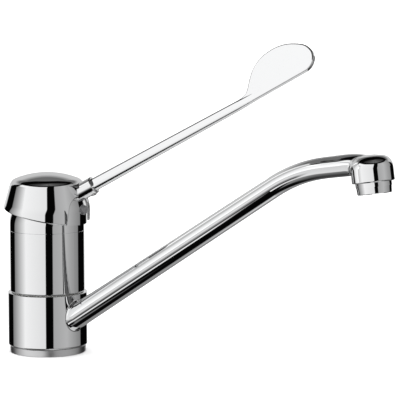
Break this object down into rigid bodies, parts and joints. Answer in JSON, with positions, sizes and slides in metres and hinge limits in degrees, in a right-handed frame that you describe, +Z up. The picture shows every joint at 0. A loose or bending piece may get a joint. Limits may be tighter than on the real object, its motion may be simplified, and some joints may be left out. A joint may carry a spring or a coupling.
{
  "type": "elbow lever tap",
  "caption": "Deck-mounted single-lever mixer tap with a swivelling raised spout and a long elbow lever ending in a flat paddle.",
  "frame": {"origin": "centre of the base's underside on the deck, on the tap's upright axis", "axes": "+Z up along the tap's upright axis, +X the way the spout points at rest"},
  "size_m": [0.3143, 0.0951, 0.2113],
  "materials": {
    "chrome": "polished plating",
    "satin_steel": "satin turned",
    "steel": "plain",
    "nut_brass": "turned",
    "black_rubber": "matt",
    "white_acetal": "moulded",
    "disc_ceramic": "lapped",
    "grey_plug": "moulded"
  },
  "bodies": {
    "tap_body": {"base_ring": "satin_steel", "base_seal": "black_rubber", "valve_body": "chrome", "lower_slide_ring": "white_acetal", "upper_slide_ring": "white_acetal", "spout_seal_lower": "black_rubber", "spout_seal_upper": "black_rubber", "cartridge_base": "white_acetal", "port_seals": "black_rubber", "cartridge_housing": "white_acetal", "fixed_disc": "disc_ceramic", "cartridge_nut": "nut_brass", "trim_ring": "chrome"},
    "spout": {"spout_collar": "chrome", "spout_tube": "chrome", "aerator_housing": "chrome", "aerator_seal": "black_rubber", "aerator_insert": "white_acetal", "aerator_screen": "steel"},
    "lever_turner": {"cartridge_rotor": "white_acetal", "pivot_pin": "steel"},
    "disc_slide": {"disc_carrier": "white_acetal", "moving_disc": "disc_ceramic"},
    "lever": {"spindle": "steel", "handle_cap": "chrome", "handle_screw": "steel", "screw_plug": "grey_plug", "lever_arm": "chrome", "arm_lock_screw": "steel"}
  },
  "joints": [
    {"name": "spout_swivel", "type": "hinge", "parent": "tap_body", "child": "spout", "pos_m": [0, 0, 0.023], "axis": [0, 0, 1], "continuous": true},
    {"name": "lever_swivel", "type": "hinge", "parent": "tap_body", "child": "lever_turner", "pos_m": [0, 0, 0.088], "axis": [0, 0, 1], "range_deg": [-68.5, 31.5]},
    {"name": "lever_lift", "type": "hinge", "parent": "lever_turner", "child": "lever", "pos_m": [0, 0, 0.088], "axis": [0.3173, -0.9483, 0], "range_deg": [0, 25]},
    {"name": "disc_travel", "type": "slide", "parent": "lever_turner", "child": "disc_slide", "axis": [0.9483, 0.3173, 0], "range_m": [0, 0.0048]}
  ],
  "couplings": [
    {"joint": "disc_travel", "follows": "lever_lift", "m_per_rad": 0.010913}
  ]
}
